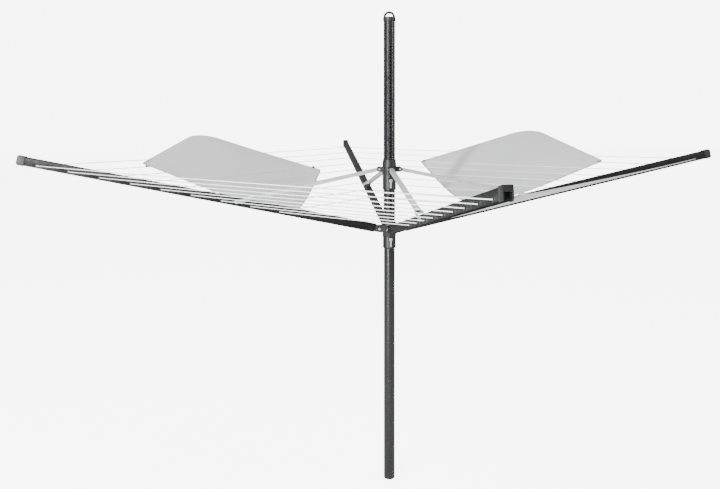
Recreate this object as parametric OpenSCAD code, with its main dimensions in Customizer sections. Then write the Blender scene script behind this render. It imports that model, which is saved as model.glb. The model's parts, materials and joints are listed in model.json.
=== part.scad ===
// Rotary clothesline: a two-tube mast, four folding arms on a lower hub,
// four struts from an upper hub, nine rows of line and two flat drying nets.
// Millimetres. Z is up, the mast foot is at the origin.
// The arms point along +X, +Y, -X and -Y.

/* [Mast] */
// Outside diameter of the lower tube
lower_tube_diameter = 50; // [40:0.5:60]
// Outside diameter of the upper tube
upper_tube_diameter = 53; // [42:0.5:65]
// Wall of both tubes
tube_wall = 1.5; // [1:0.1:3]
// Top of the lower tube
lower_tube_top = 1150; // [900:1:1400]
// Foot of the upper tube
upper_tube_foot = 1050; // [800:1:1300]
// Top of the upper tube
upper_tube_top = 2092; // [1700:1:2400]
// Height of the highest adjusting hole
first_hole_height = 1972; // [1500:1:2300]
// Distance from one adjusting hole to the next
hole_pitch = 16.7; // [10:0.1:30]
// Number of adjusting holes
hole_count = 55; // [10:1:80]
// Diameter of an adjusting hole
hole_diameter = 7.6; // [4:0.1:12]

/* [Hubs] */
// Distance from the mast's axis to every pivot
pivot_radius = 48; // [44:0.5:60]
// Height of the arm pivots
arm_pivot_height = 1141.55; // [900:0.05:1400]
// Radius of the sliding bores
hub_bore_radius = 26.9; // [21:0.05:34]
// Radius of a pivot pin
pin_radius = 4; // [2:0.1:6]
// Radial play of a pivot pin in its running bore
pin_play = 0.06; // [0.01:0.01:0.1]

/* [Arms and struts] */
// Rise of the open arms above the level
arm_rise = 11.97; // [5:0.01:25]
// Radius from the mast's axis to the arm tips
tip_radius = 1604; // [1000:1:2000]
// Width of an arm
arm_width = 26; // [15:0.5:40]
// Height of an arm
arm_height = 37; // [20:0.5:50]
// Wall of an arm
arm_wall = 1.8; // [1:0.1:4]
// Distance between the two pivots of a strut
strut_length = 655; // [400:1:900]
// Width of a strut
strut_width = 18; // [10:0.5:30]
// Height of a strut
strut_height = 16; // [8:0.5:25]

/* [Lines] */
// Radius of the outermost row, measured along an arm
outer_row_radius = 1535; // [900:1:1900]
// Distance from one row to the next, measured along an arm
row_pitch = 128; // [60:1:200]
// Number of rows
row_count = 9; // [3:1:14]
// Radius of the line
line_radius = 1.75; // [1:0.05:3]
// Depth of the line holes below the middle of an arm
line_drop = 8; // [0:0.5:14]

/* [Nets] */
// Side of a square drying net
net_side = 735; // [400:1:900]
// Width of the net's hem
hem_width = 8; // [4:0.5:20]
// Thickness of the net's hem
hem_thickness = 1.8; // [1:0.1:3]
// Thickness of the net's cloth
cloth_thickness = 1; // [0.5:0.1:2]
// Slope of the nets, rise over run
net_slope = 0.37; // [0.3:0.01:0.6]

/* [Keys] */
// Height of the upper catch pin
upper_catch_height = 1337.4; // [1200:0.1:1500]
// Height of the lower catch pin
lower_catch_height = 1070.2; // [950:0.1:1250]
// Distance from a catch pin up to the key's own pivot
key_lever = 15; // [8:0.5:25]

/* [Hidden] */
fn_large = 96;
fn_small = 40;
eps = 0.01;
strut_pivot_height = arm_pivot_height + 2 * strut_length * sin(arm_rise);
arm_end = (tip_radius - pivot_radius) / cos(arm_rise);
arm_start = 18;
lower_radius = lower_tube_diameter / 2;
upper_radius = upper_tube_diameter / 2;
swage_radius = lower_radius - 0.6;
half_w = arm_width / 2;
half_h = arm_height / 2;
inner_w = half_w - arm_wall;
azimuths = [0, 90, 180, 270];

anthracite = [0.17, 0.18, 0.19];
dark_plastic = [0.12, 0.12, 0.13];
light_plastic = [0.72, 0.73, 0.74];
silver = [0.75, 0.76, 0.78];
line_white = [0.93, 0.94, 0.95];
net_grey = [0.76, 0.77, 0.78];

// Radius of one row of line
function row_radius(i) = outer_row_radius - row_pitch * i;
// Height of one row of line
function row_height(rho) =
  arm_pivot_height + (rho - half_w - pivot_radius) * tan(arm_rise) - line_drop / cos(arm_rise);

// Puts its children on one arm: X along the arm, Z square to it, origin on the pivot
module on_arm(az) {
  rotate([0, 0, az])
    translate([pivot_radius, 0, arm_pivot_height])
      rotate([0, -arm_rise, 0])
        children();
}

// Puts its children on one strut: X along the strut, origin on its upper pivot
module on_strut(az) {
  rotate([0, 0, az])
    translate([pivot_radius, 0, strut_pivot_height])
      rotate([0, arm_rise, 0])
        children();
}

// A round bar lying across an arm
module cross_bar(r, len) {
  rotate([90, 0, 0])
    cylinder(r = r, h = len, center = true, $fn = fn_small);
}

// A flat outline drawn in X and Z, made len thick across Y
module side_cut(len) {
  rotate([90, 0, 0])
    linear_extrude(height = len, center = true)
      children();
}

// ---- Mast ----

module mast_lower_tube() {
  color(anthracite)
    difference() {
      union() {
        translate([0, 0, 4])
          cylinder(r = lower_radius, h = upper_tube_foot - 14, $fn = fn_large);
        translate([0, 0, upper_tube_foot - 10])
          cylinder(r = swage_radius, h = lower_tube_top - upper_tube_foot + 10, $fn = fn_large);
      }
      translate([0, 0, 3])
        cylinder(r = lower_radius - tube_wall, h = lower_tube_top, $fn = fn_large);
      catch_holes();
    }
}

// The adjusting holes, in the front wall only
module catch_holes() {
  for (i = [0 : hole_count - 1])
    translate([0, -10, first_hole_height - hole_pitch * i])
      rotate([90, 0, 0])
        cylinder(d = hole_diameter, h = 20, $fn = 24);
}

module mast_upper_tube() {
  color(anthracite)
    difference() {
      translate([0, 0, upper_tube_foot])
        linear_extrude(height = upper_tube_top - upper_tube_foot)
          difference() {
            circle(r = upper_radius, $fn = fn_large);
            circle(r = swage_radius, $fn = fn_large);
            for (a = [22.5 : 45 : 337.5])
              rotate([0, 0, a])
                translate([upper_radius + 0.9, 0])
                  circle(r = 1.6, $fn = 24);
          }
      catch_holes();
    }
}

module mast_top_collar() {
  color(dark_plastic)
    union() {
      translate([0, 0, upper_tube_top])
        cylinder(r = upper_radius + 2.5, h = 15, $fn = fn_large);
      translate([0, 0, upper_tube_top + 15])
        cylinder(r1 = upper_radius + 2.5, r2 = upper_radius, h = 2.5, $fn = fn_large);
      translate([0, 0, upper_tube_top - 30])
        cylinder(r = swage_radius, h = 30, $fn = fn_large);
    }
}

module mast_top_loop() {
  color(dark_plastic)
    translate([0, 0, upper_tube_top + 17.5])
      rotate([90, 0, 0])
        rotate_extrude(angle = 180, $fn = 64)
          translate([22, 0])
            circle(r = 5.5, $fn = 24);
}

module mast_foot_plug() {
  color(dark_plastic)
    union() {
      cylinder(r1 = lower_radius - 2.4, r2 = lower_radius - 0.4, h = 2, $fn = fn_large);
      translate([0, 0, 2])
        cylinder(r = lower_radius - 0.4, h = 2, $fn = fn_large);
      translate([0, 0, 4])
        cylinder(r = lower_radius - tube_wall, h = 30, $fn = fn_large);
    }
}

// ---- Hubs ----

// A hub: a round core with four forks, slot wide inside and ear thick each side
module hub_block(low, high, pivot, core, slot, ear, disc, floor_r) {
  wide = slot + 2 * ear;
  difference() {
    union() {
      translate([0, 0, low])
        cylinder(r = core, h = high - low, $fn = fn_large);
      for (az = azimuths)
        rotate([0, 0, az]) {
          translate([0, -wide / 2, pivot - disc])
            cube([pivot_radius, wide, 2 * disc]);
          translate([pivot_radius, 0, pivot])
            cross_bar(disc, wide);
        }
    }
    translate([0, 0, low - 50])
      cylinder(r = hub_bore_radius, h = high - low + 100, $fn = fn_large);
    for (az = azimuths)
      rotate([0, 0, az]) {
        translate([floor_r, -slot / 2, low - 1])
          cube([60, slot, high - low + 2]);
        translate([pivot_radius, 0, pivot])
          cross_bar(pin_radius, wide + 2);
      }
  }
}

// Four pivot pins with round heads
module hub_pins(pivot, wide, head) {
  for (az = azimuths)
    rotate([0, 0, az])
      translate([pivot_radius, 0, pivot]) {
        cross_bar(pin_radius, wide);
        for (s = [-1, 1])
          translate([0, s * (wide / 2 + 0.8), 0])
            cross_bar(head, 1.6);
      }
}

// A sleeve on the mast with a window and two ears for its key
module key_sleeve(low, high, radius, catch) {
  pivot = catch + key_lever;
  difference() {
    union() {
      difference() {
        union() {
          translate([0, 0, low])
            cylinder(r = radius, h = high - low, $fn = fn_large);
          translate([0, 0, low])
            cylinder(r = radius + 1.2, h = 3.5, $fn = fn_large);
        }
        translate([0, 0, low - 1])
          cylinder(r = hub_bore_radius, h = high - low + 2, $fn = fn_large);
        translate([-9.3, -radius - 3, pivot + 4.5])
          cube([18.6, 12, 16]);
        translate([-3.4, -radius - 3, catch - 5])
          cube([6.8, 12, 9.5]);
      }
      for (s = [-1, 1])
        translate([s * 6.7 - 1.5, -radius - 8, pivot - 3.5])
          cube([3, 9.6, 6]);
    }
    translate([0, -radius - 5.6, pivot])
      rotate([0, 90, 0])
        cylinder(r = 1.5 + pin_play, h = 20, center = true, $fn = fn_small);
    translate([-7, -hub_bore_radius + 0.4, pivot - 4])
      cube([14, 3, 8]);
  }
}

// The rocking key: round head, straight stem and its own short cross pin
module rocker_key(radius, catch) {
  pivot = catch + key_lever;
  union() {
    translate([0, -radius - 3.6, 0])
      rotate([90, 0, 0])
        linear_extrude(height = 4)
          union() {
            translate([0, catch + 25])
              circle(r = 7.7, $fn = fn_large);
            translate([-3.9, catch - 8.5])
              square([7.8, 33.5]);
          }
    translate([0, -radius - 5.6, pivot])
      rotate([0, 90, 0])
        cylinder(r = 1.5, h = 16.6, center = true, $fn = fn_small);
  }
}

// The pin behind a key
module catch_peg(radius, catch) {
  translate([0, -radius - 3.6, catch])
    rotate([-90, 0, 0])
      cylinder(r = 2.5, h = radius + 3.6 - hub_bore_radius, $fn = fn_small);
}

module upper_hub() {
  color(dark_plastic)
    union() {
      hub_block(strut_pivot_height - 24, strut_pivot_height + 26, strut_pivot_height,
        31.8, strut_width + 0.6, 4, 11, 32.8);
      difference() {
        translate([0, 0, strut_pivot_height + 26])
          cylinder(r1 = 31.8, r2 = 28.8, h = 18, $fn = fn_large);
        translate([0, 0, strut_pivot_height + 25])
          cylinder(r = hub_bore_radius, h = 20, $fn = fn_large);
      }
    }
}

module upper_sleeve() {
  color(dark_plastic)
    key_sleeve(1321, strut_pivot_height - 24, 30.5, upper_catch_height);
}

module upper_hub_pins() {
  color(light_plastic)
    hub_pins(strut_pivot_height, strut_width + 8.6, 5);
}

module upper_key() {
  color(light_plastic)
    rocker_key(30.5, upper_catch_height);
}

module upper_catch_pin() {
  color(silver)
    catch_peg(30.5, upper_catch_height);
}

module lower_hub() {
  color(dark_plastic)
    hub_block(1106, 1172, arm_pivot_height, 31.2, arm_width + 0.6, 5, 15, 31.6);
}

module lower_sleeve() {
  color(dark_plastic)
    key_sleeve(1057, 1106, 29.5, lower_catch_height);
}

module lower_hub_pins() {
  color(light_plastic)
    hub_pins(arm_pivot_height, arm_width + 10.6, 5.5);
}

module lower_key() {
  color(light_plastic)
    rocker_key(29.5, lower_catch_height);
}

module lower_catch_pin() {
  color(silver)
    catch_peg(29.5, lower_catch_height);
}

// ---- Arms ----

// A short bar along a row of line, starting on one arm's middle plane
module line_start(rho, side, r, len) {
  translate([rho, 0, row_height(rho)])
    rotate([0, 0, side * 135])
      rotate([0, 90, 0])
        cylinder(r = r, h = len, $fn = 24);
}

// The arm: a channel closed at the top and open underneath
module arm(az) {
  color(anthracite)
    difference() {
      on_arm(az)
        difference() {
          translate([arm_start, 0, 0])
            rotate([90, 0, 90])
              linear_extrude(height = arm_end - 8 - arm_start)
                polygon([
                  [-half_w, -half_h], [-half_w, half_h - 2], [-half_w + 2, half_h],
                  [half_w - 2, half_h], [half_w, half_h - 2], [half_w, -half_h],
                  [inner_w, -half_h], [inner_w, half_h - arm_wall],
                  [-inner_w, half_h - arm_wall], [-inner_w, -half_h]
                ]);
          side_cut(arm_width + 2)
            polygon([[arm_start - 1, -half_h - 1], [arm_start + 9, -half_h - 1],
              [arm_start - 1, -half_h + 9]]);
          translate([strut_length, 0, 0])
            cross_bar(pin_radius + pin_play, arm_width + 2);
          translate([50, 0, 0])
            cross_bar(2.5, arm_width + 2);
        }
      rotate([0, 0, az])
        for (i = [0 : row_count - 1])
          translate([row_radius(i) - half_w, 0, row_height(row_radius(i))])
            cross_bar(5, arm_width + 2);
    }
}

// The root fitting: a tongue inside the arm and a round eye in the hub's fork
module arm_root(az) {
  color(dark_plastic)
    on_arm(az)
      difference() {
        union() {
          cross_bar(15, arm_width);
          translate([0, -half_w, -15])
            cube([arm_start, arm_width, 30]);
          translate([arm_start, -inner_w, -half_h + 10])
            cube([62, 2 * inner_w, arm_height - arm_wall - 10]);
        }
        cross_bar(pin_radius + pin_play, arm_width + 2);
        translate([50, 0, 0])
          cross_bar(2.5, arm_width + 2);
      }
}

// The end cap: slips over the arm's tip, open underneath like the arm
module arm_end_cap(az) {
  color(dark_plastic)
    on_arm(az)
      difference() {
        side_cut(arm_width + 4)
          polygon([
            [arm_end - 33, -half_h - 2], [arm_end - 7, -half_h - 2], [arm_end, -half_h + 6],
            [arm_end, half_h + 0.5], [arm_end - 2, half_h + 2.5], [arm_end - 8, half_h + 2.5],
            [arm_end - 9, half_h + 2], [arm_end - 33, half_h + 2]
          ]);
        translate([arm_end - 40, -half_w, -half_h - 5])
          cube([32, arm_width, arm_height + 5 - 2]);
        translate([arm_end - 40, -half_w + 2, half_h - 3])
          cube([32, arm_width - 4, 3]);
        translate([arm_end - 40, -half_w, half_h - 2 - eps])
          rotate([0, 90, 0])
            rotate([0, 0, 90])
              linear_extrude(height = 32)
                polygon([[0, 0], [arm_width, 0], [arm_width - 2, 2 + eps], [2, 2 + eps]]);
        translate([arm_end - 10, -inner_w, -half_h - 5])
          cube([20, 2 * inner_w, half_h + 9]);
      }
}

// Small bushes where the line passes through the arm's two walls
module line_eyelets(az) {
  color(dark_plastic)
    rotate([0, 0, az])
      for (i = [0 : row_count - 1])
        for (s = [-1, 1])
          difference() {
            union() {
              translate([row_radius(i) - half_w, s * (half_w - arm_wall / 2),
                row_height(row_radius(i))])
                cross_bar(5, arm_wall);
              translate([row_radius(i) - half_w, s * (half_w + 0.6), row_height(row_radius(i))])
                cross_bar(6.2, 1.2);
            }
            line_start(row_radius(i), s, 2.2, 40);
          }
}

module arm_right() { arm(0); }
module arm_rear() { arm(90); }
module arm_left() { arm(180); }
module arm_front() { arm(270); }
module arm_root_right() { arm_root(0); }
module arm_root_rear() { arm_root(90); }
module arm_root_left() { arm_root(180); }
module arm_root_front() { arm_root(270); }
module arm_end_cap_right() { arm_end_cap(0); }
module arm_end_cap_rear() { arm_end_cap(90); }
module arm_end_cap_left() { arm_end_cap(180); }
module arm_end_cap_front() { arm_end_cap(270); }
module line_eyelets_right() { line_eyelets(0); }
module line_eyelets_rear() { line_eyelets(90); }
module line_eyelets_left() { line_eyelets(180); }
module line_eyelets_front() { line_eyelets(270); }

// ---- Struts ----

// The strut: a flat-sided tube with a solid round eye at the upper hub
module strut(az) {
  color(silver)
    on_strut(az)
      difference() {
        union() {
          cross_bar(strut_height / 2, strut_width);
          translate([0, -strut_width / 2, -strut_height / 2])
            cube([strut_length - 84, strut_width, strut_height]);
        }
        translate([40, -strut_width / 2 + 1.6, -strut_height / 2 + 1.6])
          cube([strut_length, strut_width - 3.2, strut_height - 3.2]);
        cross_bar(pin_radius + pin_play, strut_width + 2);
        for (x = [strut_length - 115, strut_length - 96])
          translate([x, 0, 0])
            cross_bar(2, strut_width + 2);
      }
}

// One cheek of the fork that spreads to pass outside the arm
module fork_cheek() {
  w = strut_width / 2;
  o = half_w + 0.35;
  l = strut_length;
  intersection() {
    translate([0, 0, -20])
      linear_extrude(height = 40)
        polygon([
          [l - 125, w], [l - 84, w], [l - 76, o], [l + 10, o], [l + 10, o + 2.5],
          [l - 77, o + 2.5], [l - 85, w + 2.5], [l - 125, w + 2.5]
        ]);
    side_cut(80)
      union() {
        translate([l - 125, -7])
          square([125, 14]);
        translate([l, 0])
          circle(r = 8.5, $fn = fn_small);
      }
  }
}

module strut_fork(az) {
  color(silver)
    on_strut(az)
      difference() {
        union() {
          fork_cheek();
          mirror([0, 1, 0])
            fork_cheek();
        }
        translate([strut_length, 0, 0])
          cross_bar(pin_radius, 80);
        for (x = [strut_length - 115, strut_length - 96])
          translate([x, 0, 0])
            cross_bar(2, 80);
      }
}

// The pin through the arm and the two small rivets that hold the fork
module strut_rivet(az) {
  color(light_plastic)
    on_strut(az) {
      translate([strut_length, 0, 0]) {
        cross_bar(pin_radius, arm_width + 5.7);
        for (s = [-1, 1])
          translate([0, s * (half_w + 2.85 + 0.9), 0])
            cross_bar(6.5, 1.8);
      }
      for (x = [strut_length - 115, strut_length - 96])
        translate([x, 0, 0]) {
          cross_bar(2, strut_width + 5);
          for (s = [-1, 1])
            translate([0, s * (strut_width / 2 + 2.5 + 0.5), 0])
              cross_bar(3.6, 1);
        }
    }
}

module strut_right() { strut(0); }
module strut_rear() { strut(90); }
module strut_left() { strut(180); }
module strut_front() { strut(270); }
module strut_fork_right() { strut_fork(0); }
module strut_fork_rear() { strut_fork(90); }
module strut_fork_left() { strut_fork(180); }
module strut_fork_front() { strut_fork(270); }
module strut_rivet_right() { strut_rivet(0); }
module strut_rivet_rear() { strut_rivet(90); }
module strut_rivet_left() { strut_rivet(180); }
module strut_rivet_front() { strut_rivet(270); }

// ---- Lines ----

// The rows of line between the arm at az and the next one
module lines(az) {
  color(line_white)
    rotate([0, 0, az])
      for (i = [0 : row_count - 1])
        translate([row_radius(i), 0, row_height(row_radius(i))])
          rotate([0, 0, 135])
            translate([4.5, 0, 0])
              rotate([0, 90, 0])
                cylinder(r = line_radius, h = row_radius(i) * sqrt(2) - 9, $fn = 16);
}

module lines_right_rear() { lines(0); }
module lines_rear_left() { lines(90); }
module lines_left_front() { lines(180); }
module lines_front_right() { lines(270); }

// ---- Nets ----

// Centre of a net and its place on the rows: [x, y, crossing radius, azimuth, yaw]
net_right_place = [749, 592, 1343, 45, 5.5];
net_left_place = [-666, 588, 1215, 135, -12.9];
// How far each net's two hooked corners are drawn out, the first and the opposite one
net_right_pull = [-6, 30];
net_left_pull = [42, 0];

// Height of a net's plane above a point
function net_height(p, x, y) =
  row_height(p[2]) + net_slope * (abs(x) + y - p[2]) / sqrt(2);

module on_net(p) {
  translate([p[0], p[1], net_height(p, p[0], p[1])])
    rotate([0, 0, p[3]])
      rotate([0, -atan(net_slope), 0])
        rotate([0, 0, 45 + p[4]])
          children();
}

// Points round one corner of an outline, from its centre, radius and first angle
function corner_arc(cx, cy, r, first, steps) =
  [for (i = [0 : steps]) [cx + r * cos(first + 90 * i / steps), cy + r * sin(first + 90 * i / steps)]];

// A square outline with a wide round at the outer corner and small ones elsewhere
module net_outline(side, big, small, pull) {
  h = side / 2;
  m = h - small + pull[0] / sqrt(2);
  n = h - small + pull[1] / sqrt(2);
  polygon(concat(
    corner_arc(h - big, big - h, big, -90, 12),
    corner_arc(m, m, small, 0, 6),
    corner_arc(small - h, h - small, small, 90, 6),
    corner_arc(-n, -n, small, 180, 6)
  ));
}

module net_cloth(p, pull) {
  color(net_grey)
    on_net(p)
      linear_extrude(height = cloth_thickness, center = true)
        net_outline(net_side - 2 * hem_width, 72, 12, pull);
}

module net_hem(p, pull) {
  color(net_grey)
    on_net(p)
      linear_extrude(height = hem_thickness, center = true)
        difference() {
          net_outline(net_side, 80, 20, pull);
          net_outline(net_side - 2 * hem_width, 72, 12, pull);
        }
}

// Plan position of a net's corner
function turn(v, a) = [v[0] * cos(a) - v[1] * sin(a), v[0] * sin(a) + v[1] * cos(a)];
function net_corner(p, v) =
  let (u = turn(v, 45 + p[4]))
    let (t = turn([u[0] * cos(atan(net_slope)), u[1]], p[3]))
      [p[0] + t[0], p[1] + t[1]];

// A clip round one row of line and the strap that holds the net's corner to it
module net_clip(p, v, row) {
  sx = p[0] > 0 ? 1 : -1;
  a = net_corner(p, v);
  za = net_height(p, a[0], a[1]);
  rho = row_radius(row);
  off = (rho - abs(a[0]) - a[1]) / 2;
  out = v[0] * v[1] > 0 ? (v[0] > 0 ? -1 : 1) : 0;
  side = sx * out;
  bx = a[0] + sx * off - side * sx * 14;
  by = a[1] + off + side * 14;
  zb = row_height(rho);
  face = za > row_height(abs(a[0]) + a[1]) ? 3.7 : -3.7;
  dir = [bx - a[0], by - a[1], zb + face - za];
  len = norm(dir);
  translate([bx, by, zb])
    rotate([0, 0, sx > 0 ? 135 : 45])
      rotate([0, 90, 0])
        difference() {
          cylinder(r = 5, h = 14, center = true, $fn = fn_small);
          cylinder(r = 2.4, h = 16, center = true, $fn = fn_small);
        }
  translate([a[0], a[1], za])
    rotate([0, -asin(dir[2] / len), atan2(dir[1], dir[0])])
      translate([1, -5, -1])
        cube([len, 10, 2]);
}

module net_right() { net_cloth(net_right_place, net_right_pull); }
module net_hem_right() { net_hem(net_right_place, net_right_pull); }
module net_left() { net_cloth(net_left_place, net_left_pull); }
module net_hem_left() { net_hem(net_left_place, net_left_pull); }

// A hooked corner's place in its net's own plane
function hook_place(pull) = net_side / 2 - 5.9 + pull / sqrt(2);

module net_hooks_right() {
  m = hook_place(net_right_pull[0]);
  n = hook_place(net_right_pull[1]);
  color(dark_plastic) {
    net_clip(net_right_place, [m, m], 2);
    net_clip(net_right_place, [-n, -n], 1);
  }
}

module net_hooks_left() {
  m = hook_place(net_left_pull[0]);
  n = hook_place(net_left_pull[1]);
  color(dark_plastic) {
    net_clip(net_left_place, [-n, -n], 3);
    net_clip(net_left_place, [m, m], 1);
  }
}

mast_lower_tube();
mast_upper_tube();
mast_top_collar();
mast_top_loop();
mast_foot_plug();
upper_hub();
upper_sleeve();
upper_hub_pins();
upper_key();
upper_catch_pin();
lower_hub();
lower_sleeve();
lower_hub_pins();
lower_key();
lower_catch_pin();
arm_right();
arm_rear();
arm_left();
arm_front();
arm_root_right();
arm_root_rear();
arm_root_left();
arm_root_front();
arm_end_cap_right();
arm_end_cap_rear();
arm_end_cap_left();
arm_end_cap_front();
line_eyelets_right();
line_eyelets_rear();
line_eyelets_left();
line_eyelets_front();
strut_right();
strut_rear();
strut_left();
strut_front();
strut_fork_right();
strut_fork_rear();
strut_fork_left();
strut_fork_front();
strut_rivet_right();
strut_rivet_rear();
strut_rivet_left();
strut_rivet_front();
lines_right_rear();
lines_rear_left();
lines_left_front();
lines_front_right();
net_right();
net_hem_right();
net_hooks_right();
net_left();
net_hem_left();
net_hooks_left();
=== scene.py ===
import json
import math

import bpy
from mathutils import Matrix, Vector


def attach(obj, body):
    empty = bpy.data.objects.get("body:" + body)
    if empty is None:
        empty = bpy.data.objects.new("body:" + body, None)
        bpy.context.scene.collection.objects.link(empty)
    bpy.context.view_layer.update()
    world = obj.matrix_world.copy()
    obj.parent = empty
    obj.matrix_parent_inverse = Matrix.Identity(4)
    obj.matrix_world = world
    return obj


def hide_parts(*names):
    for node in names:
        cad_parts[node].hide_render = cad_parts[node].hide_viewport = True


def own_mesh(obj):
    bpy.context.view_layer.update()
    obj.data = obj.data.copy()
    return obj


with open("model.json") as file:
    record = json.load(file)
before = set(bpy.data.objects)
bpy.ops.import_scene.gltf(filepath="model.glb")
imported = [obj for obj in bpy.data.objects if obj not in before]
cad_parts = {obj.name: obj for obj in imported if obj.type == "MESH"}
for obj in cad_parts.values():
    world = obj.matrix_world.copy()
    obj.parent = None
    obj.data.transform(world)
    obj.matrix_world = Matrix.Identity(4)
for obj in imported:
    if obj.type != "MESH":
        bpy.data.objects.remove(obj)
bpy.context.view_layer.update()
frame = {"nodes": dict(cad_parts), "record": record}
nodes = frame["nodes"]

# Metres, with Z up, the mast's foot at the origin and the arms on the X and Y axes.

# Each arm's direction in degrees
SIDES = {"right": 0, "rear": 90, "left": 180, "front": 270}

# Arms: rise above the level, the pivots' distance from the mast's axis, height of the pivots
ARM_RISE = math.radians(11.97)
PIVOT_RADIUS = 0.048
ARM_PIVOT_Z = 1.14155
HALF_ARM_WIDTH = 0.013

# Lines: where each row crosses an arm, its radius, its depth below the arm's middle,
# the dip of a run per metre of row, and where a run leaves the arm's wall
ROWS = [1.535 - 0.128 * i for i in range(9)]
LINE_RADIUS = 0.00175
LINE_DROP = 0.008
LINE_SAG = 0.0035
LINE_ANCHOR = 0.0148

# Nets: side, slope, radius of the outer corner and of the other three, inset of the cloth,
# bow of the sides, hang of the hem, thickness of the cloth
NET_SIDE = 0.735
NET_SLOPE = 0.37
NET_ROUND = 0.13
NET_CORNER = 0.022
NET_INSET = 0.004
EDGE_BOW = 0.02
SAG = 0.045
CLOTH = 0.0007
# How far each net's two hooked corners are drawn out
NET_PULLS = {"right": (-0.006, 0.03), "left": (0.042, 0.0)}
# Centre x and y, the radius where the net crosses the rows, direction and yaw in degrees
NET_PLACES = {
    "right": (0.749, 0.592, 1.343, 45, 5.5),
    "left": (-0.666, 0.588, 1.215, 135, -12.9),
}


# ---------- small helpers ----------

def deselect():
    if bpy.context.object and bpy.context.object.mode != "OBJECT":
        bpy.ops.object.mode_set(mode="OBJECT")
    bpy.ops.object.select_all(action="DESELECT")


def make_active(obj):
    deselect()
    obj.select_set(True)
    bpy.context.view_layer.objects.active = obj


def apply_modifiers(obj):
    make_active(obj)
    for m in list(obj.modifiers):
        bpy.ops.object.modifier_apply(modifier=m.name)


def settle(obj, angle=32):
    """Puts the piece's place into its mesh and smooths its round faces."""
    make_active(obj)
    bpy.ops.object.transform_apply(location=True, rotation=True, scale=True)
    bpy.ops.object.shade_smooth_by_angle(angle=math.radians(angle))


def dress(obj, body, material):
    obj.data.materials.clear()
    obj.data.materials.append(material)
    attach(obj, body)
    return obj


def row_height(rho):
    along = rho - HALF_ARM_WIDTH - PIVOT_RADIUS
    return ARM_PIVOT_Z + along * math.tan(ARM_RISE) - LINE_DROP / math.cos(ARM_RISE)


def body_of_node(node):
    for body, members in frame["record"]["behaviour"]["bodies"].items():
        if node in members:
            return body
    return None


# ---------- materials ----------

def base_material(name, color, rough, metal=0.0):
    m = bpy.data.materials.new(name)
    m.use_nodes = True
    b = m.node_tree.nodes["Principled BSDF"]
    b.inputs["Base Color"].default_value = (*color, 1)
    b.inputs["Roughness"].default_value = rough
    b.inputs["Metallic"].default_value = metal
    return m, m.node_tree, b


def add_noise(tree, scale, detail=4.0, stretch=(1, 1, 1)):
    co = tree.nodes.new("ShaderNodeTexCoord")
    mp = tree.nodes.new("ShaderNodeMapping")
    mp.inputs["Scale"].default_value = stretch
    nz = tree.nodes.new("ShaderNodeTexNoise")
    nz.inputs["Scale"].default_value = scale
    nz.inputs["Detail"].default_value = detail
    tree.links.new(co.outputs["Object"], mp.inputs["Vector"])
    tree.links.new(mp.outputs["Vector"], nz.inputs["Vector"])
    return nz


def vary_color(tree, shader, noise, dark, light):
    ramp = tree.nodes.new("ShaderNodeValToRGB")
    ramp.color_ramp.elements[0].position = 0.3
    ramp.color_ramp.elements[1].position = 0.7
    ramp.color_ramp.elements[0].color = (*dark, 1)
    ramp.color_ramp.elements[1].color = (*light, 1)
    tree.links.new(noise.outputs["Fac"], ramp.inputs["Fac"])
    tree.links.new(ramp.outputs["Color"], shader.inputs["Base Color"])
    return ramp


def vary_roughness(tree, shader, noise, low, high):
    mr = tree.nodes.new("ShaderNodeMapRange")
    mr.inputs["From Min"].default_value = 0.3
    mr.inputs["From Max"].default_value = 0.7
    mr.inputs["To Min"].default_value = low
    mr.inputs["To Max"].default_value = high
    tree.links.new(noise.outputs["Fac"], mr.inputs["Value"])
    tree.links.new(mr.outputs["Result"], shader.inputs["Roughness"])


def add_bump(tree, shader, height, strength, distance):
    bp = tree.nodes.new("ShaderNodeBump")
    bp.inputs["Strength"].default_value = strength
    bp.inputs["Distance"].default_value = distance
    tree.links.new(height, bp.inputs["Height"])
    tree.links.new(bp.outputs["Normal"], shader.inputs["Normal"])
    return bp


def powder_coat(name, dark, light, rough, specular):
    m, t, b = base_material(name, light, rough)
    cloud = add_noise(t, 14, 3)
    vary_color(t, b, cloud, dark, light)
    fine = add_noise(t, 1500, 2)
    vary_roughness(t, b, add_noise(t, 60, 5), rough - 0.06, rough + 0.08)
    add_bump(t, b, fine.outputs["Fac"], 0.035, 0.0001)
    b.inputs["Specular IOR Level"].default_value = specular
    return m


def moulded_plastic(name, dark, light, rough, grain=900):
    m, t, b = base_material(name, light, rough)
    vary_color(t, b, add_noise(t, 30, 3), dark, light)
    vary_roughness(t, b, add_noise(t, 140, 4), rough - 0.05, rough + 0.08)
    add_bump(t, b, add_noise(t, grain, 3).outputs["Fac"], 0.22, 0.0002)
    return m


def bright_metal(name, dark, light, rough, metal, stretch):
    m, t, b = base_material(name, light, rough, metal)
    vary_color(t, b, add_noise(t, 40, 4, stretch), dark, light)
    vary_roughness(t, b, add_noise(t, 220, 5, stretch), rough - 0.07, rough + 0.08)
    add_bump(t, b, add_noise(t, 700, 2, stretch).outputs["Fac"], 0.08, 0.0001)
    return m


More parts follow.
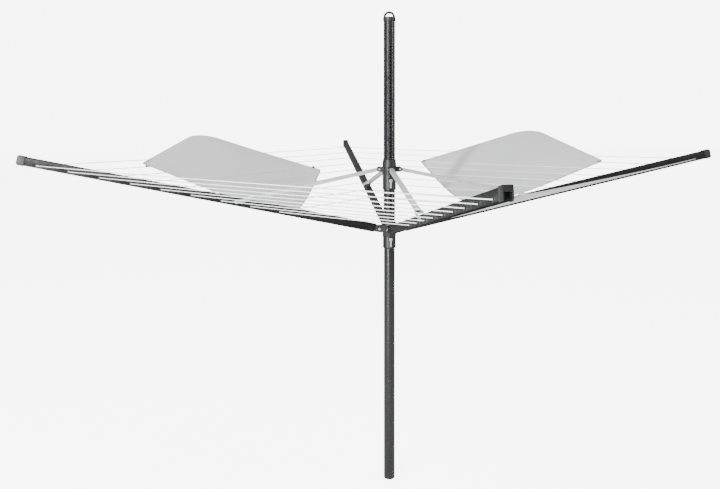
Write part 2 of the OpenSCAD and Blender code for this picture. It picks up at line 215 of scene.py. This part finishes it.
mast_coat = powder_coat(
    "mast_powder_coat", (0.005, 0.0055, 0.006), (0.009, 0.0095, 0.0105), 0.24, 0.5)
arm_coat = powder_coat(
    "arm_powder_coat", (0.004, 0.0043, 0.0047), (0.007, 0.0075, 0.008), 0.45, 0.2)
dark_plastic = moulded_plastic(
    "dark_moulding", (0.004, 0.0043, 0.0047), (0.008, 0.0083, 0.0087), 0.45)
bush_plastic = moulded_plastic("bush_moulding", (0.02, 0.021, 0.023), (0.03, 0.031, 0.033), 0.5)
key_plastic = moulded_plastic("key_moulding", (0.30, 0.31, 0.32), (0.38, 0.39, 0.40), 0.38)
strut_silver = bright_metal(
    "strut_silver", (0.50, 0.51, 0.52), (0.64, 0.65, 0.66), 0.36, 0.45, (1, 1, 1))
pin_bright = bright_metal("pin_bright", (0.6, 0.61, 0.62), (0.72, 0.72, 0.73), 0.3, 0.8, (1, 1, 1))


def line_material():
    m, t, b = base_material("line_cover", (0.88, 0.89, 0.90), 0.32)
    vary_color(t, b, add_noise(t, 25, 3), (0.90, 0.91, 0.92), (0.96, 0.965, 0.97))
    add_bump(t, b, add_noise(t, 500, 2).outputs["Fac"], 0.15, 0.0002)
    return m


def net_material(name, dark, light, pitch):
    m, t, b = base_material(name, light, 0.8)
    uv = t.nodes.new("ShaderNodeUVMap")
    uv.uv_map = "weave"
    waves = []
    for direction in ("X", "Y"):
        w = t.nodes.new("ShaderNodeTexWave")
        w.wave_type = "BANDS"
        w.bands_direction = direction
        w.inputs["Scale"].default_value = 1 / (pitch * 20 / math.pi) * math.pi
        w.inputs["Distortion"].default_value = 0.4
        w.inputs["Detail"].default_value = 1.0
        t.links.new(uv.outputs["UV"], w.inputs["Vector"])
        waves.append(w)
    mix = t.nodes.new("ShaderNodeMath")
    mix.operation = "MAXIMUM"
    t.links.new(waves[0].outputs["Fac"], mix.inputs[0])
    t.links.new(waves[1].outputs["Fac"], mix.inputs[1])
    ramp = t.nodes.new("ShaderNodeValToRGB")
    ramp.color_ramp.elements[0].position = 0.25
    ramp.color_ramp.elements[0].color = (*dark, 1)
    ramp.color_ramp.elements[1].position = 0.8
    ramp.color_ramp.elements[1].color = (*light, 1)
    t.links.new(mix.outputs["Value"], ramp.inputs["Fac"])
    t.links.new(ramp.outputs["Color"], b.inputs["Base Color"])
    add_bump(t, b, mix.outputs["Value"], 0.35, 0.0003)
    b.inputs["Sheen Weight"].default_value = 0.15
    return m


line_cover = line_material()
net_weave = net_material("net_weave", (0.56, 0.565, 0.57), (0.74, 0.745, 0.75), 0.0032)
hem_weave = net_material("hem_weave", (0.32, 0.325, 0.33), (0.46, 0.465, 0.47), 0.0016)

SLOT_LOOK = {
    "mast_coat": mast_coat, "arm_coat": arm_coat, "dark_plastic": dark_plastic,
    "small_plastic": bush_plastic, "key_plastic": key_plastic, "pin_steel": pin_bright,
    "strut_metal": strut_silver, "line_cord": line_cover, "net_cloth": hem_weave,
}
slot_of = {s["node"]: s["material_slot"] for s in frame["record"]["subparts"]}
for node_name, node_obj in nodes.items():
    node_obj.data.materials.clear()
    node_obj.data.materials.append(SLOT_LOOK[slot_of[node_name]])


# ---------- softened copies of the hard CAD edges ----------

def soften(node, width, segments=2, angle=35):
    """A copy of one CAD node with merged faces and small rounded edges, which stands for it."""
    mesh = nodes[node].data.copy()
    obj = bpy.data.objects.new(node + "_finished", mesh)
    bpy.context.scene.collection.objects.link(obj)
    make_active(obj)
    bpy.ops.object.mode_set(mode="EDIT")
    bpy.ops.mesh.select_all(action="SELECT")
    bpy.ops.mesh.remove_doubles(threshold=1e-5)
    bpy.ops.mesh.dissolve_limited(angle_limit=math.radians(0.5))
    bpy.ops.object.mode_set(mode="OBJECT")
    bevel = obj.modifiers.new("edges", "BEVEL")
    bevel.width = width
    bevel.segments = segments
    bevel.limit_method = "ANGLE"
    bevel.angle_limit = math.radians(angle)
    bevel.use_clamp_overlap = True
    apply_modifiers(obj)
    settle(obj)
    dress(obj, body_of_node(node), SLOT_LOOK[slot_of[node]])
    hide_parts(node)
    return obj


for side in SIDES:
    soften("arm_" + side, 0.0006)
    soften("arm_root_" + side, 0.0012)
    soften("arm_end_cap_" + side, 0.0016, 3)
    soften("strut_" + side, 0.0022, 3)
    soften("strut_fork_" + side, 0.0007)
    soften("strut_rivet_" + side, 0.0007)
    soften("line_eyelets_" + side, 0.0004)
for hub in ("upper", "lower"):
    soften(hub + "_hub", 0.0012)
    soften(hub + "_sleeve", 0.0007)
    soften(hub + "_key", 0.0010, 3)
    soften(hub + "_hub_pins", 0.0007)
soften("mast_top_collar", 0.0012)
soften("mast_foot_plug", 0.0008)


# ---------- the lines ----------

def tube(name, runs, radius, sides=10):
    """Round cords through the given points, with closed ends."""
    curve = bpy.data.curves.new(name, "CURVE")
    curve.dimensions = "3D"
    curve.bevel_depth = radius
    curve.bevel_resolution = (sides - 4) // 2
    curve.use_fill_caps = True
    for points in runs:
        spline = curve.splines.new("POLY")
        spline.points.add(len(points) - 1)
        for p, co in zip(spline.points, points):
            p.co = (*co, 1)
    obj = bpy.data.objects.new(name, curve)
    bpy.context.scene.collection.objects.link(obj)
    make_active(obj)
    bpy.ops.object.convert(target="MESH")
    return bpy.context.object


for side, azimuth in SIDES.items():
    turn = Matrix.Rotation(math.radians(azimuth), 4, "Z")
    bends = []
    for number, rho in enumerate(ROWS):
        height = row_height(rho)
        sag = LINE_SAG * rho
        for way, label in ((1, "a"), (-1, "b")):
            points = []
            for step in range(17):
                y = LINE_ANCHOR + (rho / 2 - LINE_ANCHOR) * step / 16
                dip = sag * (1 - ((rho / 2 - y) / (rho / 2)) ** 2)
                points.append(turn @ Vector((rho - y, way * y, height - dip)))
            piece = tube(f"line_{side}_{label}_{number + 1}", [points], LINE_RADIUS)
            settle(piece, 60)
            dress(piece, "arm_" + side, line_cover)
            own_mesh(piece)
        bend = []
        for step in range(-8, 9):
            y = LINE_ANCHOR * step / 8
            round_off = 0.004 * max(0.0, 1 - abs(y) / 0.008) ** 2
            bend.append(turn @ Vector((rho - abs(y) - round_off, y, height)))
        bends.append(bend)
    corner = tube("line_bends_" + side, bends, LINE_RADIUS)
    settle(corner, 60)
    dress(corner, "arm_" + side, line_cover)
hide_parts("lines_right_rear", "lines_rear_left", "lines_left_front",
            "lines_front_right")


# ---------- the nets ----------

def net_matrix(place):
    x, y, crossing, azimuth, yaw = place
    z = row_height(crossing) + NET_SLOPE * (abs(x) + y - crossing) / math.sqrt(2)
    tilt = Matrix.Rotation(-math.atan(NET_SLOPE), 4, "Y")
    return (Matrix.Translation((x, y, z)) @ Matrix.Rotation(math.radians(azimuth), 4, "Z")
            @ tilt @ Matrix.Rotation(math.radians(45 + yaw), 4, "Z"))


def outline_points(half, big, small, steps=10):
    pts = []
    for sx, sy, r, start in ((1, -1, big, -90), (1, 1, small, 0), (-1, 1, small, 90),
                             (-1, -1, small, 180)):
        for i in range(steps + 1):
            a = math.radians(start + 90 * i / steps)
            pts.append(Vector((sx * (half - r) + r * math.cos(a),
                               sy * (half - r) + r * math.sin(a), 0)))
    return pts


def net_relief(u, v, half):
    """How far the cloth lifts off its plane behind the crossing, or dips in front of it."""
    a, b = u / half, v / half
    slack = max(0.0, 1 - a * a) * max(0.0, 1 - b * b)
    behind = (a - b) / 2
    belly = 0.017 * math.sin(math.pi * max(-1.0, min(1.0, behind * 1.5)) * 0.5)
    fold = math.sin(7.5 * a + 3.1 * b + 0.6) * 0.5 + math.sin(11 * b - 4 * a) * 0.3
    return belly * slack ** 0.6 + 0.0035 * fold * min(1.0, abs(behind) * 2.2) * slack ** 0.4


def square_to_round(u, v, half, big, small):
    """Pulls a grid point of the square into the rounded outline."""
    for sx, sy, r in ((1, -1, big), (1, 1, small), (-1, 1, small), (-1, -1, small)):
        cx, cy = sx * (half - r), sy * (half - r)
        dx, dy = (u - cx) * sx, (v - cy) * sy
        if dx > 0 and dy > 0:
            m = max(dx, dy)
            d = math.hypot(dx, dy)
            return cx + sx * dx * m / d, cy + sy * dy * m / d
    return u, v


def bow_out(u, v, half, pull):
    """Draws the two hooked corners out and bows each side of the net a little."""
    a, b = u / half, v / half
    near, far = (1 + a) * (1 + b) / 4, (1 - a) * (1 - b) / 4
    shift = (pull[0] * near - pull[1] * far) / math.sqrt(2)
    return (u * (1 + EDGE_BOW * (1 - b * b)) + shift, v * (1 + EDGE_BOW * (1 - a * a)) + shift)


def edge_sag(u, v, half):
    """How far the hem hangs between the corners, more on the sides nearer the mast."""
    a, b = max(-1.0, min(1.0, u / half)), max(-1.0, min(1.0, v / half))
    front = max(0.0, (b - a) / 2)
    return -(0.006 + SAG * front) * (1 - (a * b) ** 2) * max(abs(a), abs(b)) ** 2


def gather(piece):
    """Gives a soft piece its own copy of its mesh."""
    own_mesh(piece)


def make_net(side):
    place = NET_PLACES[side]
    m = net_matrix(place)
    half = NET_SIDE / 2 - NET_INSET
    deselect()
    bpy.ops.mesh.primitive_grid_add(x_subdivisions=90, y_subdivisions=90, size=2 * half)
    cloth = bpy.context.object
    cloth.name = "net_cloth_" + side
    weave = cloth.data.uv_layers.active or cloth.data.uv_layers.new(name="weave")
    weave.name = "weave"
    for loop in cloth.data.loops:
        co = cloth.data.vertices[loop.vertex_index].co
        weave.data[loop.index].uv = (co.x, co.y)
    for v in cloth.data.vertices:
        x, y = square_to_round(v.co.x, v.co.y, half, NET_ROUND, NET_CORNER)
        lift = net_relief(x, y, half) + edge_sag(x, y, half)
        x, y = bow_out(x, y, half, NET_PULLS[side])
        v.co = m @ Vector((x, y, lift))
    thick = cloth.modifiers.new("thick", "SOLIDIFY")
    thick.thickness = CLOTH
    thick.offset = 0
    apply_modifiers(cloth)
    settle(cloth, 60)
    dress(cloth, "net_" + side, net_weave)
    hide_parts("net_" + side)

    hem = hem_band(side, m, half)
    for piece in (cloth, hem):
        gather(piece)
    return cloth


def hem_band(side, m, half):
    """The doubled hem: a flat rolled band along the outline."""
    corners = outline_points(half, NET_ROUND, NET_CORNER)
    ring = []
    for k, p in enumerate(corners):
        q = corners[(k + 1) % len(corners)]
        count = max(1, round((q - p).length / 0.02))
        for i in range(count):
            f = p.lerp(q, i / count)
            x, y = bow_out(f.x, f.y, half, NET_PULLS[side])
            ring.append(Vector((x, y, edge_sag(f.x, f.y, half))))
    n = len(ring)
    profile = []
    for i in range(14):
        a = 2 * math.pi * i / 14
        dx = 0.0046 * math.copysign(abs(math.cos(a)) ** 0.6, math.cos(a))
        dz = 0.0010 * math.copysign(abs(math.sin(a)) ** 0.7, math.sin(a))
        profile.append((dx, dz))
    verts, faces, uvs = [], [], []
    for k, p in enumerate(ring):
        tangent = (ring[(k + 1) % n] - ring[k - 1]).normalized()
        outward = Vector((tangent.y, -tangent.x, 0)).normalized()
        for dx, dz in profile:
            q = p + outward * (dx - 0.0008)
            verts.append(m @ Vector((q.x, q.y, p.z + dz)))
            uvs.append((p.x + p.y, dx * 3))
    for k in range(n):
        for i in range(14):
            j = (i + 1) % 14
            l = (k + 1) % n
            faces.append((k * 14 + i, k * 14 + j, l * 14 + j, l * 14 + i))
    mesh = bpy.data.meshes.new("net_hem_band_" + side)
    mesh.from_pydata(verts, [], faces)
    layer = mesh.uv_layers.new(name="weave")
    for loop in mesh.loops:
        layer.data[loop.index].uv = uvs[loop.vertex_index]
    hem = bpy.data.objects.new("net_hem_band_" + side, mesh)
    bpy.context.scene.collection.objects.link(hem)
    make_active(hem)
    bpy.ops.object.mode_set(mode="EDIT")
    bpy.ops.mesh.select_all(action="SELECT")
    bpy.ops.mesh.normals_make_consistent(inside=False)
    bpy.ops.object.mode_set(mode="OBJECT")
    settle(hem, 60)
    dress(hem, "net_" + side, hem_weave)
    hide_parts("net_hem_" + side)
    return hem


for side in ("right", "left"):
    make_net(side)
    gather(soften("net_hooks_" + side, 0.0005))


# ---------- stage, light and camera ----------

deselect()
bpy.ops.mesh.primitive_plane_add(size=60, location=(0, 0, 0))
floor = bpy.context.object
floor.name = "floor"
floor_look, floor_tree, floor_shader = base_material("floor_paper", (0.93, 0.93, 0.93), 0.9)
floor_shader.inputs["Emission Color"].default_value = (1, 1, 1, 1)
floor.data.materials.append(floor_look)


def bright_to_the_eye(tree, socket, seen, lighting):
    """Lets a surface look brighter than the light it throws on the object."""
    path = tree.nodes.new("ShaderNodeLightPath")
    mix = tree.nodes.new("ShaderNodeMapRange")
    mix.inputs["To Min"].default_value = lighting
    mix.inputs["To Max"].default_value = seen
    tree.links.new(path.outputs["Is Camera Ray"], mix.inputs["Value"])
    tree.links.new(mix.outputs["Result"], socket)


bright_to_the_eye(floor_tree, floor_shader.inputs["Emission Strength"], 6.4, 0.05)

world = bpy.data.worlds.new("studio")
bpy.context.scene.world = world
world.use_nodes = True
world.node_tree.nodes["Background"].inputs["Color"].default_value = (1, 1, 1, 1)
bright_to_the_eye(world.node_tree, world.node_tree.nodes["Background"].inputs["Strength"],
                  7.2, 0.5)


def area_light(name, location, target, size, power):
    data = bpy.data.lights.new(name, "AREA")
    data.shape = "RECTANGLE"
    data.size, data.size_y = size
    data.energy = power
    light = bpy.data.objects.new(name, data)
    bpy.context.scene.collection.objects.link(light)
    light.location = location
    light.rotation_euler = (Vector(target) - Vector(location)).to_track_quat("-Z", "Y").to_euler()
    return light


area_light("key", (-3.2, -3.0, 3.6), (0, 0, 1.3), (1.6, 2.6), 170)
area_light("fill", (3.5, -2.0, 2.4), (0, 0, 1.2), (2.0, 2.0), 40)
area_light("strip", (-3.9, -5.3, 1.4), (0, 0, 1.2), (0.3, 4.4), 900)
area_light("top", (0.0, 1.5, 4.5), (0, 0, 1.3), (3.0, 3.0), 60)

camera_data = bpy.data.cameras.new("camera")
camera_data.sensor_width = 36
camera_data.lens = 37.5
camera_data.shift_x = -0.0186
camera_data.shift_y = -0.182
camera = bpy.data.objects.new("camera", camera_data)
bpy.context.scene.collection.objects.link(camera)
camera.location = (-0.632, -3.382, 1.668)
camera.rotation_euler = (math.radians(90), 0, math.radians(-9.37))
bpy.context.scene.camera = camera
